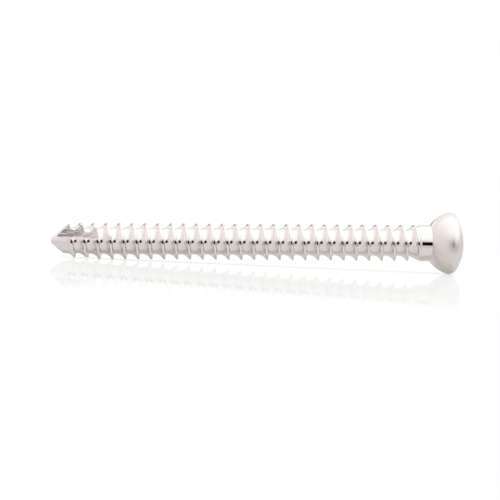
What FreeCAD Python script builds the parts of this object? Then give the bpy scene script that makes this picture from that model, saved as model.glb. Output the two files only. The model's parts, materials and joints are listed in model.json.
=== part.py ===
import FreeCAD, Part
import math
import os

# Cortical bone screw, turned and milled from one bar of stainless steel.
# Millimetres. The screw is built along +X with its point at x = 0 and its
# head at x = screw_length, and is laid on its side on the plane z = 0 last.

# Whole screw
screw_length = 40.0

# Thread: an asymmetric bone thread with its gentle flank towards the point
thread_diameter = 3.5
core_diameter = 2.5
thread_pitch = 1.25
crest_width = 0.2
steep_flank_angle = 3.0
steep_root_blend = 0.2
first_crest_on_top = 2.85
stations_per_turn = 16
blend_facets = 1
root_facets = 4

# Point
nose_radius = 0.45
nose_half_angle = 40.0

# Cutting flutes at the point
flute_count = 3
flute_turn = 90.0
flute_floor_height = 0.5
flute_corner_height = 0.44
flute_face_tilt = 12.0
flute_cutter_radius = 14.0

# Neck and the cone in which the thread runs out
neck_diameter = 3.55
neck_start = 35.95
run_out_half_angle = 27.0
run_out_foot_radius = 1.0

# Head
head_diameter = 6.0
head_seat_radius = 3.07
head_rim_radius = 0.7
head_dome_radius = 5.0

# Hexagon socket
socket_across_flats = 2.5
socket_depth = 1.6
socket_mouth_diameter = 3.1
socket_drill_angle = 120.0

# How far a cutting tool passes the surface that it cuts
tool_overrun = 0.06
tool_clear = 1.0

# How closely the outline that the screw rests on is followed
resting_tolerance = 0.02

X_AXIS = FreeCAD.Vector(1, 0, 0)
ORIGIN = FreeCAD.Vector(0, 0, 0)

thread_radius = thread_diameter / 2
core_radius = core_diameter / 2
neck_radius = neck_diameter / 2
thread_depth = thread_radius - core_radius


def around(radius, along, turn):
    """The point at a radius and a place along the axis, a turn being counted right-handed from +Z."""
    return FreeCAD.Vector(along, -radius * math.sin(turn), radius * math.cos(turn))


def turned(edges):
    """The solid that a closed outline in the X-Z plane makes when it is turned about the axis."""
    return Part.Face(Part.Wire(edges)).revolve(ORIGIN, X_AXIS, 360)


def line(start, end):
    """A straight edge between two (along, radius) places in the X-Z plane."""
    return Part.makeLine(FreeCAD.Vector(start[0], 0, start[1]), FreeCAD.Vector(end[0], 0, end[1]))


def arc(centre, radius, start_angle, end_angle):
    """A round edge in the X-Z plane, its angles in radians from +X towards +Z."""
    places = []
    for angle in (start_angle, (start_angle + end_angle) / 2, end_angle):
        places.append((centre[0] + radius * math.cos(angle), centre[1] + radius * math.sin(angle)))
    points = [FreeCAD.Vector(x, 0, z) for x, z in places]
    return Part.Arc(*points).toShape(), places[0], places[-1]


def groove_section():
    """The (radius, along) corners of the thread groove, along counted from the middle of a crest.

    The steep flank drops to a small blend, and from the root one large arc rises to the next
    crest, which it meets at about 28 degrees from square. Both arcs are drawn in short facets.
    """
    lean = math.tan(math.radians(steep_flank_angle))
    edge = crest_width / 2
    blend_top = edge + (thread_depth - steep_root_blend) * lean
    root_start = blend_top + steep_root_blend
    width = thread_pitch - crest_width / 2 - root_start
    root_radius = (width ** 2 + thread_depth ** 2) / (2 * thread_depth)
    sweep = math.asin(width / root_radius)
    corners = [(thread_radius + tool_overrun, edge - tool_overrun * lean)]
    for facet in range(blend_facets):
        angle = math.pi / 2 * facet / blend_facets
        height = steep_root_blend * (1 - math.sin(angle))
        corners.append((core_radius + height, root_start - steep_root_blend * math.cos(angle)))
    for facet in range(root_facets + 1):
        angle = sweep * facet / root_facets
        height = root_radius * (1 - math.cos(angle))
        corners.append((core_radius + height, root_start + root_radius * math.sin(angle)))
    (low, before), (high, end) = corners[-2:]
    slope = (end - before) / (high - low)
    corners[-1] = (high + tool_overrun, end + tool_overrun * slope)
    return corners


def groove_tool():
    """The thread groove as one solid, ruled between sections at evenly spaced turns."""
    corners = groove_section()
    first = -math.ceil(first_crest_on_top / thread_pitch * stations_per_turn)
    last = math.ceil((neck_start + tool_clear - first_crest_on_top) / thread_pitch * stations_per_turn)
    sections = []
    for station in range(first, last + 1):
        turn = 2 * math.pi * station / stations_per_turn
        crest = first_crest_on_top + thread_pitch * station / stations_per_turn
        points = [around(radius, crest + along, turn) for radius, along in corners]
        sections.append(Part.makePolygon(points + points[:1]))
    return Part.makeLoft(sections, True, True)


def shank_blank():
    """The unthreaded shank: a bar with a flat for each station, and its rounded, coned nose."""
    rim = []
    for station in range(stations_per_turn + 1):
        rim.append(around(thread_radius, 0, 2 * math.pi * station / stations_per_turn))
    bar_end = neck_start + tool_clear / 2
    bar = Part.Face(Part.makePolygon(rim)).extrude(X_AXIS * bar_end)
    half_angle = math.radians(nose_half_angle)
    tip, start, cone_start = arc((nose_radius, 0), nose_radius, math.pi, math.pi / 2 + half_angle)
    widest = thread_radius + tool_clear
    cone_end = (cone_start[0] + (widest - cone_start[1]) / math.tan(half_angle), widest)
    far = bar_end + tool_clear
    nose = turned([
        tip,
        line(cone_start, cone_end),
        line(cone_end, (far, widest)),
        line((far, widest), (far, 0)),
        line((far, 0), start),
    ])
    return bar.common(nose)


def flute_tool(turn):
    """One cutting flute: a cutting face, and a floor that rises in the arc of the disc cutter.

    The floor is deepest at the point. The outline lies in the plane of the cutting face and is
    drawn out along the floor.
    """
    out = around(1, 0, turn)
    up = around(1, 0, turn - math.pi / 2)
    fall = math.tan(math.radians(flute_face_tilt))

    def place(along, height):
        rise = flute_corner_height - (height - flute_floor_height) * fall
        return X_AXIS * along + out * height + up * rise

    top = thread_radius + tool_clear
    rise = top - flute_floor_height
    run_out = math.acos(1 - rise / flute_cutter_radius)

    def on_cutter(angle):
        height = flute_floor_height + flute_cutter_radius * (1 - math.cos(angle))
        return place(flute_cutter_radius * math.sin(angle), height)

    floor_start = place(-tool_clear, flute_floor_height)
    outer_start = place(-tool_clear, top)
    cutter = Part.Arc(on_cutter(0), on_cutter(run_out / 2), on_cutter(run_out)).toShape()
    outline = Part.Wire([
        Part.makeLine(floor_start, on_cutter(0)),
        cutter,
        Part.makeLine(on_cutter(run_out), outer_start),
        Part.makeLine(outer_start, floor_start),
    ])
    return Part.Face(outline).extrude(up * thread_diameter)


def head():
    """The neck with its run-out cone, the ball seat, the rounded rim and the dome."""
    head_radius = head_diameter / 2
    rim_height = head_radius - head_rim_radius
    mouth_radius = socket_mouth_diameter / 2
    dome_centre = screw_length - math.sqrt(head_dome_radius ** 2 - mouth_radius ** 2)
    rim = dome_centre + math.sqrt((head_dome_radius - head_rim_radius) ** 2 - rim_height ** 2)
    seat_centre = rim + math.sqrt((head_seat_radius - head_rim_radius) ** 2 - rim_height ** 2)
    seat_start = math.pi - math.asin(neck_radius / head_seat_radius)
    seat_end = math.atan2(rim_height, rim - seat_centre)
    dome_start = math.atan2(rim_height, rim - dome_centre)
    seat, seat_foot, seat_top = arc((seat_centre, 0), head_seat_radius, seat_start, seat_end)
    edge, edge_start, edge_end = arc((rim, rim_height), head_rim_radius, seat_end, dome_start)
    dome, dome_foot, dome_top = arc((dome_centre, 0), head_dome_radius, dome_start, 0)
    cone_rise = neck_radius - run_out_foot_radius
    cone_start = neck_start - cone_rise / math.tan(math.radians(run_out_half_angle))
    return turned([
        line((cone_start, 0), (cone_start, run_out_foot_radius)),
        line((cone_start, run_out_foot_radius), (neck_start, neck_radius)),
        line((neck_start, neck_radius), seat_foot),
        seat,
        edge,
        dome,
        line(dome_top, (cone_start, 0)),
    ])


def socket_tool():
    """The hexagon socket with its bevelled mouth and the cone that the drill leaves."""
    floor = screw_length - socket_depth
    corner = socket_across_flats / math.sqrt(3)
    corners = [around(corner, floor, math.radians(60 * side)) for side in range(7)]
    prism = Part.Face(Part.makePolygon(corners)).extrude(X_AXIS * (socket_depth + tool_clear))
    half_flats = socket_across_flats / 2
    drill_depth = half_flats / math.tan(math.radians(socket_drill_angle / 2))
    drill = turned([
        line((floor - drill_depth, 0), (floor, half_flats)),
        line((floor, half_flats), (floor + tool_overrun, half_flats)),
        line((floor + tool_overrun, half_flats), (floor + tool_overrun, 0)),
        line((floor + tool_overrun, 0), (floor - drill_depth, 0)),
    ])
    mouth_radius = socket_mouth_diameter / 2
    bevel_foot = screw_length - mouth_radius
    bevel = turned([
        line((bevel_foot, 0), (screw_length + tool_clear, mouth_radius + tool_clear)),
        line((screw_length + tool_clear, mouth_radius + tool_clear), (screw_length + tool_clear, 0)),
        line((screw_length + tool_clear, 0), (bevel_foot, 0)),
    ])
    return prism.fuse([drill, bevel])


def laid_down(screw):
    """The screw turned so that it rests on z = 0 along the line under its middle."""
    points, triangles = screw.tessellate(resting_tolerance)
    below = sorted((point.x, point.z) for point in points)
    hull = []
    for x, z in below:
        while len(hull) > 1:
            (x0, z0), (x1, z1) = hull[-2:]
            if (x1 - x0) * (z - z0) - (z1 - z0) * (x - x0) > 0:
                break
            hull.pop()
        hull.append((x, z))
    middle = screw.CenterOfMass.x
    for (x0, z0), (x1, z1) in zip(hull, hull[1:]):
        if x0 <= middle <= x1:
            slope = math.atan2(z1 - z0, x1 - x0)
    resting = screw.copy()
    resting.rotate(ORIGIN, FreeCAD.Vector(0, 1, 0), math.degrees(slope))
    box = resting.optimalBoundingBox()
    resting.translate(FreeCAD.Vector(-box.Center.x, -box.Center.y, -box.ZMin))
    return resting


def bone_screw():
    """The whole screw: thread, flutes, head and socket in one solid."""
    screw = shank_blank().cut(groove_tool())
    flutes = []
    for flute in range(flute_count):
        flutes.append(flute_tool(math.radians(flute_turn + 360 * flute / flute_count)))
    screw = screw.cut(flutes)
    screw = screw.fuse(head()).cut(socket_tool())
    return laid_down(screw.Solids[0])


os.makedirs("parts", exist_ok=True)
bone_screw().exportStep("parts/bone_screw.step")
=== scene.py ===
import json
import math

import bmesh
import bpy
import numpy as np
from mathutils import Matrix, Vector


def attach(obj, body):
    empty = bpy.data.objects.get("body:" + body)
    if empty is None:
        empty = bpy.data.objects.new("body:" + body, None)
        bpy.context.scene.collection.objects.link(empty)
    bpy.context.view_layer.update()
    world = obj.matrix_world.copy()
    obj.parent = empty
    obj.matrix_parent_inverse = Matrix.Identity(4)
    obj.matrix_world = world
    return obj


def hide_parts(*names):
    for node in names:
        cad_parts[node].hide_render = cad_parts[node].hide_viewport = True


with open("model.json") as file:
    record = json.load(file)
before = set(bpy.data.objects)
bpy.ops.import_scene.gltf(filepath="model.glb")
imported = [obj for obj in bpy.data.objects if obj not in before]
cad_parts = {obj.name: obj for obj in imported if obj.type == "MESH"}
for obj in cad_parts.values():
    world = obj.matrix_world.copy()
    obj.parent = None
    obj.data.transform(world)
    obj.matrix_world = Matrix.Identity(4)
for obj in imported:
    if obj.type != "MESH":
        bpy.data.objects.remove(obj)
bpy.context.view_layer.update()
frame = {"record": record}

# The bar. The screw is turned from one bar of implant stainless steel, and it is worked out here in
# millimetres, with its point at zero and its head along +X. Turn zero is its top, and a right-handed
# turn about +X goes on from there to the side that the camera sees.
screw_length = 40.0


def around(radius, along, turn):
    """Points at a radius and a place along the axis: Y is -radius sin turn and Z is radius cos turn."""
    radius, along, turn = np.broadcast_arrays(radius, along, turn)
    return np.stack([along, -radius * np.sin(turn), radius * np.cos(turn)], axis=-1)


def bend(centre, radius, start, end, steps):
    """(along, radius) places on an arc, its angles in radians from +X towards the outside."""
    angle = np.linspace(start, end, steps)
    return np.stack([centre[0] + radius * np.cos(angle), centre[1] + radius * np.sin(angle)], axis=-1)


def solid(name, points, *groups):
    """An object in the scene from points and groups of faces, closed and facing outwards."""
    used, corners = np.unique(np.concatenate([group.ravel() for group in groups]), return_inverse=True)
    faces = []
    for group in groups:
        count = group.size
        faces += corners[:count].reshape(group.shape).tolist()
        corners = corners[count:]
    mesh = bpy.data.meshes.new(name)
    mesh.from_pydata(points[used], [], faces)
    shell = bmesh.new()
    shell.from_mesh(mesh)
    bmesh.ops.recalc_face_normals(shell, faces=shell.faces)
    shell.to_mesh(mesh)
    shell.free()
    made = bpy.data.objects.new(name, mesh)
    bpy.context.collection.objects.link(made)
    return made


def turned(name, profile, facets):
    """A turned form: (along, radius) places carried round the axis, the first and last on the axis."""
    turn = np.arange(facets) * 2 * math.pi / facets
    rings = around(profile[1:-1, 1, None], profile[1:-1, 0, None], turn).reshape(-1, 3)
    poles = around(0, profile[[0, -1], 0], 0)
    facet = np.arange(facets)
    beside = (facet + 1) % facets
    ring = np.arange(len(profile) - 3)[:, None] * facets
    walls = np.stack([ring + facet, ring + beside, ring + beside + facets, ring + facet + facets], axis=-1)
    last = len(rings) - facets
    start = np.stack([np.full(facets, len(rings)), beside, facet], axis=-1)
    end = np.stack([last + facet, last + beside, np.full(facets, len(rings) + 1)], axis=-1)
    return solid(name, np.concatenate([rings, poles]), walls.reshape(-1, 4), start, end)


def carved(body, tool, operation):
    """The body after an exact boolean with a tool, which is used up."""
    step = body.modifiers.new(operation, "BOOLEAN")
    step.operation, step.solver, step.object = operation, "EXACT", tool
    shape = bpy.data.meshes.new_from_object(body.evaluated_get(bpy.context.evaluated_depsgraph_get()))
    body.modifiers.clear()
    body.data = shape
    bpy.data.objects.remove(tool)
    return body


# The thread. It is whirled into the bar in one pass: an asymmetric bone thread with a narrow crest, a
# steep flank towards the head, a small blend at its foot, and one large arc as root and gentle flank.
# Electropolishing leaves the crest's edges slightly round.
thread_radius = 1.75
core_radius = 1.25
pitch = 1.25
crest_width = 0.2
crest_edge_round = 0.02
steep_flank_angle = math.radians(3)
steep_root_blend = 0.2
first_crest_on_top = 2.85
thread_from = -1.45
thread_to = 36.3
stations_per_turn = 80


def groove_profile():
    """(along, radius) places across one pitch: crest between two small arcs, flank, blend and root arc."""
    edge = crest_width / 2
    depth = thread_radius - core_radius
    root_start = edge + (depth - steep_root_blend) * math.tan(steep_flank_angle) + steep_root_blend
    width = pitch - edge - root_start
    root_radius = (width ** 2 + depth ** 2) / (2 * depth)
    sweep = math.asin(width / root_radius)
    short_of_crest = 1.3 * crest_edge_round * math.tan(sweep / 2)
    root_sweep = sweep - short_of_crest / root_radius
    fall = math.pi / 2 - steep_flank_angle
    level = thread_radius - crest_edge_round
    gentle = (-edge + crest_edge_round * math.tan(sweep / 2), level)
    steep = (edge - crest_edge_round * math.tan(fall / 2), level)
    up = math.pi / 2
    rise = bend(gentle, crest_edge_round, up + sweep, up, 4)
    drop = bend(steep, crest_edge_round, up, up - fall, 5)
    blend_middle = (root_start, core_radius + steep_root_blend)
    blend = bend(blend_middle, steep_root_blend, math.pi + steep_flank_angle, 3 * up, 5)
    root = bend((root_start, core_radius + root_radius), root_radius, -up, -up + root_sweep, 11)[1:]
    return np.concatenate([rise, drop, blend, root])


def threaded_bar():
    """The groove's profile carried along a helix: each turn, right-handed, moves it on by one pitch."""
    along, radius = groove_profile().T
    across = len(along)
    first = round((thread_from - first_crest_on_top) / pitch * stations_per_turn)
    rows = round((thread_to - thread_from) / pitch * stations_per_turn)
    turns = (first + np.arange(rows + stations_per_turn + 1)) / stations_per_turn
    place = first_crest_on_top + turns[:, None] * pitch + along
    points = around(radius, place, 2 * math.pi * turns[:, None]).reshape(-1, 3)

    def at(row, column):
        """The point at a row and column, the profile's end being its start one turn later."""
        row, column = np.broadcast_arrays(row, column)
        return (row + column // across * stations_per_turn) * across + column % across

    row, column = np.meshgrid(np.arange(rows), np.arange(across), indexing="ij")
    near, far = at(row, column), at(row, column + 1)
    next_near, next_far = at(row + 1, column), at(row + 1, column + 1)
    walls = np.stack([near, next_near, next_far, far], axis=-1)
    ends = []
    for cap, (edge_row, edge_column) in enumerate([(0, 0), (rows, across)]):
        lap = edge_row - cap * stations_per_turn + np.arange(stations_per_turn)
        step = np.arange(across)
        rim = np.stack([np.concatenate([at(lap, edge_column), at(edge_row, step + 1)]),
                        np.concatenate([at(lap + 1, edge_column), at(edge_row, step)])], axis=-1)
        centre = np.full((len(rim), 1), len(points) + cap)
        ends.append(np.concatenate([rim, centre], axis=1))
    middles = around(0, np.array([thread_from, thread_to + pitch / 2]), 0)
    return solid("bone_screw", np.concatenate([points, middles]), walls.reshape(-1, 4), *ends)


screw = threaded_bar()

# The point. The bar's end is turned to a cone that cuts the first turns of the thread and ends in a
# small round nose.
nose_radius = 0.45
nose_half_angle = math.radians(40)
nose_steps = 16
point_reach = 3.0
point_facets = 128

nose = bend((nose_radius, 0), nose_radius, math.pi, math.pi / 2 + nose_half_angle, nose_steps)
cone_end = nose[-1] + np.array([point_reach / math.tan(nose_half_angle), point_reach])
envelope = np.concatenate([nose, [cone_end, (screw_length, cone_end[1]), (screw_length, 0)]])
screw = carved(screw, turned("point", envelope, point_facets), "INTERSECT")

# The cutting flutes. Three are milled through the first turns at 120 degrees, deepest at the point, with
# a leaning cutting face and a floor that rises in the large arc of the disc cutter. The cutter's rim
# mills the floor, and its side, one of the last two faces of its prism, leaves a brighter cut.
flute_turn = math.radians(90)
flute_floor_height = 0.5
flute_corner_height = 0.44
flute_face_fall = math.tan(math.radians(12))
flute_cutter_radius = 14.0
flute_cutter_steps = 40
flute_count = 3
flute_reach = 1.7
cutter_overrun = 1.0


def flute_cutter(turn):
    """A prism: the cutter's outline in the plane of the cutting face, carried along the flute's floor."""
    top = thread_radius + cutter_overrun
    rise = top - flute_floor_height
    run_out = math.acos(1 - rise / flute_cutter_radius)
    centre = (0, flute_floor_height + flute_cutter_radius)
    arc = bend(centre, flute_cutter_radius, -math.pi / 2, -math.pi / 2 + run_out, flute_cutter_steps)
    outline = np.concatenate([[(-cutter_overrun, flute_floor_height)], arc, [(-cutter_overrun, top)]])
    lift = flute_corner_height - (outline[:, 1] - flute_floor_height) * flute_face_fall
    out, up = around(1, 0, turn), around(1, 0, turn - math.pi / 2)
    face = outline[:, :1] * np.array([1, 0, 0]) + outline[:, 1:] * out + lift[:, None] * up
    count = len(face)
    here = np.arange(count)
    beside = (here + 1) % count
    walls = np.stack([here, beside, beside + count, here + count], axis=-1)
    return solid("flute", np.concatenate([face, face + flute_reach * up]), walls, here[None], here[None] + count)


def marked(shape, milled_faces):
    """The shape with a value on each face: 1 on the first ones, which mill what they cut, and 0 on the rest."""
    values = np.zeros(len(shape.data.polygons))
    values[:milled_faces] = 1
    shape.data.attributes.new("milled", "FLOAT", "FACE").data.foreach_set("value", values)
    return shape


screw = marked(screw, 0)
for flute in range(flute_count):
    cutter = flute_cutter(flute_turn + flute * 2 * math.pi / flute_count)
    screw = carved(screw, marked(cutter, -2), "DIFFERENCE")

# Neck and head. The thread runs out in a cone against the smooth neck. Above it the head is turned in
# one cut: the ball that seats in a bone plate, a rounded rim and a low dome.
neck_radius = 1.775
neck_start = 35.95
run_out_slope = math.tan(math.radians(27))
run_out_foot_radius = 1.0
head_radius = 3.0
seat_radius = 3.07
rim_round = 0.7
dome_radius = 5.0
socket_mouth_radius = 1.55
head_facets = 160

rim_height = head_radius - rim_round
dome_centre = screw_length - math.sqrt(dome_radius ** 2 - socket_mouth_radius ** 2)
rim_centre = dome_centre + math.sqrt((dome_radius - rim_round) ** 2 - rim_height ** 2)
seat_centre = rim_centre + math.sqrt((seat_radius - rim_round) ** 2 - rim_height ** 2)
seat_end = math.atan2(rim_height, rim_centre - seat_centre)
dome_start = math.atan2(rim_height, rim_centre - dome_centre)
seat_start = math.pi - math.asin(neck_radius / seat_radius)
seat = bend((seat_centre, 0), seat_radius, seat_start, seat_end, 28)
rim = bend((rim_centre, rim_height), rim_round, seat_end, dome_start, 24)
dome = bend((dome_centre, 0), dome_radius, dome_start, 0, 30)
cone_start = neck_start - (neck_radius - run_out_foot_radius) / run_out_slope
neck = np.array([(cone_start, 0), (cone_start, run_out_foot_radius), (neck_start, neck_radius)])
head = turned("head", np.concatenate([neck, seat, rim[1:], dome[1:]]), head_facets)

# The socket. A hexagon is broached into a drilled hole in the dome, and its mouth is bevelled for the
# driver.
socket_half_flats = 1.25
socket_depth = 1.6
drill_half_angle = math.radians(60)
drill_overlap = 0.1
drill_facets = 96
clear_above = 1.0

socket_floor = screw_length - socket_depth
outside = screw_length + clear_above
corner = np.arange(6)
next_corner = (corner + 1) % 6
corner_radius = socket_half_flats / math.cos(math.pi / 6)
sides = around(corner_radius, np.array([[socket_floor], [outside]]), corner * math.pi / 3)
walls = np.stack([corner, next_corner, next_corner + 6, corner + 6], axis=-1)
hexagon = solid("hexagon", sides.reshape(-1, 3), walls, corner[None], corner[None] + 6)
head = carved(head, hexagon, "DIFFERENCE")
drill_end = socket_floor - socket_half_flats / math.tan(drill_half_angle)
drill_top = socket_floor + drill_overlap
drill = np.array([(drill_end, 0), (socket_floor, socket_half_flats), (drill_top, socket_half_flats), (drill_top, 0)])
head = carved(head, turned("drill", drill, drill_facets), "DIFFERENCE")
bevel_end = screw_length - socket_mouth_radius
bevel = np.array([(bevel_end, 0), (outside, socket_mouth_radius + clear_above), (outside, 0)])
head = carved(head, turned("bevel", bevel, head_facets), "DIFFERENCE")

screw = carved(screw, marked(head, 0), "UNION")

# The whole screw. It is put on the axis that the neck's mount gives, in metres, and shaded smooth
# except along its cut edges.
millimetre = 0.001
merge_distance = 2e-7
cut_edge_angle = math.radians(28)

neck_mount = next(mount for mount in frame["record"]["mounts"] if mount["name"] == "neck")
axis = -Vector(neck_mount["axis"]).normalized()
side = Vector((0, 1, 0))
along_neck = float(neck_start + seat[0, 0]) / 2 * millimetre
foot = Vector(neck_mount["pos_m"]) - along_neck * axis
onto_axis = Matrix((axis, side, axis.cross(side))).transposed().to_4x4()
screw.data.transform(Matrix.Translation(foot) @ onto_axis @ Matrix.Scale(millimetre, 4))
shell = bmesh.new()
shell.from_mesh(screw.data)
bmesh.ops.remove_doubles(shell, verts=shell.verts, dist=merge_distance)
bmesh.ops.triangulate(shell, faces=shell.faces)
shell.to_mesh(screw.data)
shell.free()
screw.data.shade_smooth()
screw.data.set_sharp_from_angle(angle=cut_edge_angle)
weighting = screw.modifiers.new("weighted_normals", "WEIGHTED_NORMAL")
weighting.keep_sharp = True
weighting.weight = 100


def linear(colour):
    """An sRGB hex colour as linear values with full alpha."""
    parts = [int(colour[i:i + 2], 16) / 255 for i in (1, 3, 5)]
    return [part / 12.92 if part <= 0.04045 else ((part + 0.055) / 1.055) ** 2.4 for part in parts] + [1]


def node(tree, kind, inputs=(), **settings):
    """Adds a shader node with its settings, and sets or links its inputs, given by name or by place."""
    made = tree.nodes.new("ShaderNode" + kind)
    for name, value in settings.items():
        setattr(made, name, value)
    for socket, value in dict(inputs).items():
        if isinstance(value, bpy.types.NodeSocket):
            tree.links.new(value, made.inputs[socket])
        else:
            made.inputs[socket].default_value = value
    return made


# A Mix node has its sockets once for each kind of data. These are the places of the colours.
mix_from, mix_to, mixed = 6, 7, 2


def electropolished_steel():
    """Electropolished 316L. The eye sees a mirror on the thread and a satin haze on the head, uneven over
    about 1 mm. Where "milled" is 1, in the flutes, it sees a soft grey with streaks along the cutter's
    path, about 2 mm long and 0.2 mm wide.
    """
    material = bpy.data.materials.new("electropolished_stainless_steel")
    material.use_nodes = True
    tree = material.node_tree
    tree.nodes.clear()
    # The satin begins where the neck meets the head, in metres along the axis from the screw's middle
    satin_from, satin_full = 0.0168, 0.0176
    mirror_roughness, satin_roughness, milled_roughness = 0.06, 0.34, 0.26
    hazes_per_metre = 900.0
    streaks_per_metre = (500.0, 5200.0, 5200.0)
    streak_depth = 5e-5

    place = node(tree, "TexCoord").outputs["Object"]
    on_axis = node(tree, "Mapping", {"Vector": place, "Rotation": (0, math.asin(axis.z), 0)}).outputs["Vector"]
    along = node(tree, "SeparateXYZ", {"Vector": on_axis}).outputs["X"]
    softer = node(tree, "MapRange", {
        "Value": along, "From Min": satin_from, "From Max": satin_full,
        "To Min": mirror_roughness, "To Max": satin_roughness}).outputs["Result"]
    haze = node(tree, "TexNoise", {"Vector": place, "Scale": hazes_per_metre, "Detail": 3.0, "Roughness": 0.6})
    spread = node(tree, "MapRange", {"Value": haze.outputs["Fac"], "To Min": 0.85, "To Max": 1.2}).outputs["Result"]
    turned_finish = node(tree, "Math", {0: softer, 1: spread}, operation="MULTIPLY").outputs["Value"]
    milled = node(tree, "Attribute", attribute_name="milled").outputs["Fac"]
    roughness = node(tree, "Math", {0: milled, 1: milled_roughness, 2: turned_finish}, operation="MULTIPLY_ADD")
    stretched = node(tree, "Mapping", {"Vector": on_axis, "Scale": streaks_per_metre}).outputs["Vector"]
    streaks = node(tree, "TexNoise", {"Vector": stretched, "Scale": 1.0, "Detail": 1.0}).outputs["Fac"]
    marks = node(tree, "Bump", {"Strength": milled, "Distance": streak_depth, "Height": streaks})
    shader = node(tree, "BsdfPrincipled", {
        "Base Color": linear("#EBE9E7"), "Metallic": 1.0, "Roughness": roughness.outputs["Value"],
        "Normal": marks.outputs["Normal"]})
    node(tree, "OutputMaterial", {"Surface": shader.outputs["BSDF"]})
    return material


screw.data.materials.clear()
screw.data.materials.append(electropolished_steel())
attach(screw, "root")
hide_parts("bone_screw")

# The floor. The screw lies on a pale sheet, glossy near it and matt further off, which the camera sees as
# white with the screw's shadow and mirror image. The steel mirrors it as evenly lit, and only up to six
# millimetres in front of the axis, so that it mirrors the tent and the lens low down too.
floor_half = 1.5
floor_gloss = 0.2
gloss_until, gloss_gone = 0.04, 0.07
floor_fill = 0.6
shown_white = 1.01
open_from = -0.006

sheet_mesh = bpy.data.meshes.new("floor")
sheet_mesh.from_pydata([(-floor_half, -floor_half, 0), (floor_half, -floor_half, 0),
                        (floor_half, floor_half, 0), (-floor_half, floor_half, 0)], [], [(0, 1, 2, 3)])
sheet = bpy.data.objects.new("floor", sheet_mesh)
bpy.context.collection.objects.link(sheet)
acrylic = bpy.data.materials.new("white_acrylic_sheet")
acrylic.use_nodes = True
tree = acrylic.node_tree
tree.nodes.clear()
ray = node(tree, "LightPath")
to_camera = ray.outputs["Is Camera Ray"]
in_steel = ray.outputs["Is Glossy Ray"]
grey = linear("#B4B2B0")
tone = node(tree, "Mix", {"Factor": to_camera, mix_from: linear("#E6E4E0"), mix_to: grey}, data_type="RGBA")
pale = node(tree, "BsdfDiffuse", {"Color": tone.outputs[mixed]}).outputs["BSDF"]
filled = node(tree, "Emission", {"Color": linear("#DCD8D2"), "Strength": 1.0}).outputs["Emission"]
fill = node(tree, "Math", {0: in_steel, 1: floor_fill}, operation="MULTIPLY").outputs["Value"]
lit = node(tree, "MixShader", {0: fill, 1: pale, 2: filled}).outputs["Shader"]
lift = [shown_white - part for part in grey[:3]] + [1]
lifted = node(tree, "Emission", {"Color": lift, "Strength": to_camera}).outputs["Emission"]
matt = node(tree, "AddShader", {0: lit, 1: lifted}).outputs["Shader"]
gloss = node(tree, "BsdfGlossy", {"Color": linear("#FFFFFF"), "Roughness": 0.02}).outputs["BSDF"]
position = node(tree, "NewGeometry").outputs["Position"]
distance = node(tree, "VectorMath", {0: position}, operation="LENGTH").outputs["Value"]
polish = node(tree, "MapRange", {
    "Value": distance, "From Min": gloss_until, "From Max": gloss_gone, "To Min": floor_gloss, "To Max": 0.0})
sheen = node(tree, "MixShader", {0: polish.outputs["Result"], 1: matt, 2: gloss}).outputs["Shader"]
across = node(tree, "SeparateXYZ", {"Vector": position}).outputs["Y"]
in_front = node(tree, "Math", {0: across, 1: open_from}, operation="LESS_THAN").outputs["Value"]
opened = node(tree, "Math", {0: in_front, 1: in_steel}, operation="MULTIPLY").outputs["Value"]
through = node(tree, "BsdfTransparent", {"Color": linear("#FFFFFF")}).outputs["BSDF"]
surface = node(tree, "MixShader", {0: opened, 1: sheen, 2: through}).outputs["Shader"]
node(tree, "OutputMaterial", {"Surface": surface})
sheet_mesh.materials.append(acrylic)

# The light tent. White cloth all round lights the screw evenly. The polished steel mirrors it white
# overhead, rose on the point's side, grey low on the head's side, and lilac behind with a strip of light
# across it. In front it mirrors the dark lens, which gives the black marks on each crest and root.
tent_in_steel = 1.25
tent_from = -0.25
lens_bearing = math.radians(-4)
lens_half_width = math.radians(18)
lens_height = -0.05
lens_half_height = 0.185

world = bpy.data.worlds.new("light_tent")
bpy.context.scene.world = world
world.use_nodes = True
tree = world.node_tree
tree.nodes.clear()
ray = node(tree, "LightPath")
in_steel = ray.outputs["Is Glossy Ray"]
towards = node(tree, "SeparateXYZ", {"Vector": node(tree, "TexCoord").outputs["Generated"]}).outputs
height = node(tree, "MapRange", {"Value": towards["Z"], "From Min": tent_from}).outputs["Result"]

# The colours of each cloth, from the lowest that the steel mirrors to overhead
cloths = {
    "front": ((0.0, "#C6C2C0"), (0.2, "#BDB8B8"), (0.36, "#D6D1D2"), (0.52, "#F6F4F5"), (0.8, "#FFFFFF")),
    "back": ((0.27, "#FFFFFF"), (0.31, "#CCC6CE"), (0.36, "#A59FA7"), (0.48, "#A59FA7"),
             (0.5, "#FFFFFF"), (0.61, "#FFFFFF"), (0.64, "#C8C2CA"), (0.84, "#FFFFFF")),
    "point_side": ((0.2, "#DDD2D1"), (0.6, "#E9DDDD"), (0.85, "#F6F0F0"), (1.0, "#FFFFFF")),
    "head_side": ((0.1, "#ACA6A9"), (0.25, "#C8C3C6"), (0.42, "#FFFFFF")),
}
seen = {}
for cloth, stops in cloths.items():
    ramp = node(tree, "ValToRGB", {"Fac": height}, name=cloth)
    while len(ramp.color_ramp.elements) < len(stops):
        ramp.color_ramp.elements.new(1.0)
    for stop, (place, colour) in zip(ramp.color_ramp.elements, stops):
        stop.position, stop.color = place, linear(colour)
    seen[cloth] = ramp.outputs["Color"]

# Each further cloth covers the ones before it from one value of a direction to another
hung = (("back", "Y", -0.1, 0.3), ("point_side", "X", -0.45, -0.6), ("head_side", "X", 0.4, 0.6))
all_round = seen["front"]
for cloth, way, begins, full in hung:
    share = node(tree, "MapRange", {"Value": towards[way], "From Min": begins, "From Max": full}).outputs["Result"]
    cover = node(tree, "Mix", {"Factor": share, mix_from: all_round, mix_to: seen[cloth]}, data_type="RGBA")
    all_round = cover.outputs[mixed]

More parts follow.
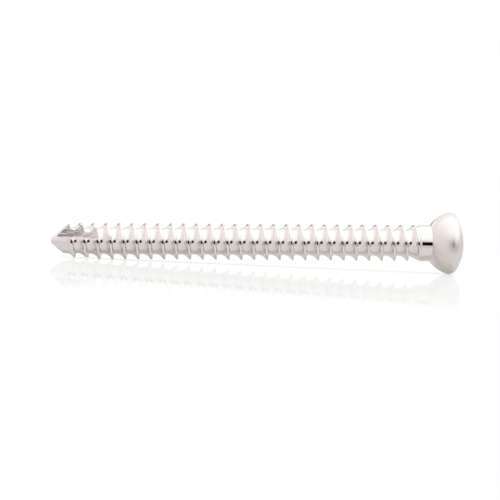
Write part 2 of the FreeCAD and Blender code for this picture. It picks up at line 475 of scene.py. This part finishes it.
ahead = node(tree, "Math", {0: towards["Y"], 1: -1.0}, operation="MULTIPLY").outputs["Value"]
bearing = node(tree, "Math", {0: towards["X"], 1: ahead}, operation="ARCTAN2").outputs["Value"]
level = node(tree, "Math", {0: towards["Z"], 1: lens_height, 2: lens_half_height}, operation="COMPARE")
facing = node(tree, "Math", {0: bearing, 1: lens_bearing, 2: lens_half_width}, operation="COMPARE")
both = {0: level.outputs["Value"], 1: facing.outputs["Value"]}
lens = node(tree, "Math", both, operation="MULTIPLY").outputs["Value"]
mirrored = node(tree, "Mix", {"Factor": lens, mix_from: all_round, mix_to: linear("#120E0E")}, data_type="RGBA")
tent = node(tree, "Mix", {
    "Factor": in_steel, mix_from: linear("#FFFFFF"), mix_to: mirrored.outputs[mixed]}, data_type="RGBA")
strength = node(tree, "MapRange", {"Value": in_steel, "To Min": 1.0, "To Max": tent_in_steel})
lining = node(tree, "Background", {"Color": tent.outputs[mixed], "Strength": strength.outputs["Result"]})
node(tree, "OutputWorld", {"Surface": lining.outputs["Background"]})

# The camera. It looks from six degrees towards the point's side, nearly level with the screw, close
# enough for the photograph's perspective, and rolled so that the axis droops as it does there.
photo_width = 500
photo_middle = Vector((250, 250))
screw_middle = Vector((257.4, 242.0))
pixels_per_mm = 10.3
yaw = math.radians(6)
elevation = math.radians(2)
axis_droop = math.radians(0.38)
camera_distance = 0.235
sensor_width = 36.0

middle = foot + screw_length / 2 * millimetre * axis
back = Vector((-math.sin(yaw) * math.cos(elevation), -math.cos(yaw) * math.cos(elevation), math.sin(elevation)))
right = (axis - axis.dot(back) * back).normalized()
right = Matrix.Rotation(axis_droop, 3, back) @ right
up = back.cross(right)
metres_per_pixel = millimetre / pixels_per_mm
offset = (photo_middle - screw_middle) * metres_per_pixel
target = middle + right * offset.x - up * offset.y
camera_data = bpy.data.cameras.new("camera")
camera_data.sensor_width = sensor_width
camera_data.lens = sensor_width * camera_distance / (photo_width * metres_per_pixel)
camera_data.clip_start, camera_data.clip_end = 0.01, 10
camera = bpy.data.objects.new("camera", camera_data)
bpy.context.collection.objects.link(camera)
turn = Matrix((right, up, back)).transposed().to_4x4()
camera.matrix_world = Matrix.Translation(target + back * camera_distance) @ turn
bpy.context.scene.camera = camera
bpy.context.scene.view_settings.view_transform = "Standard"
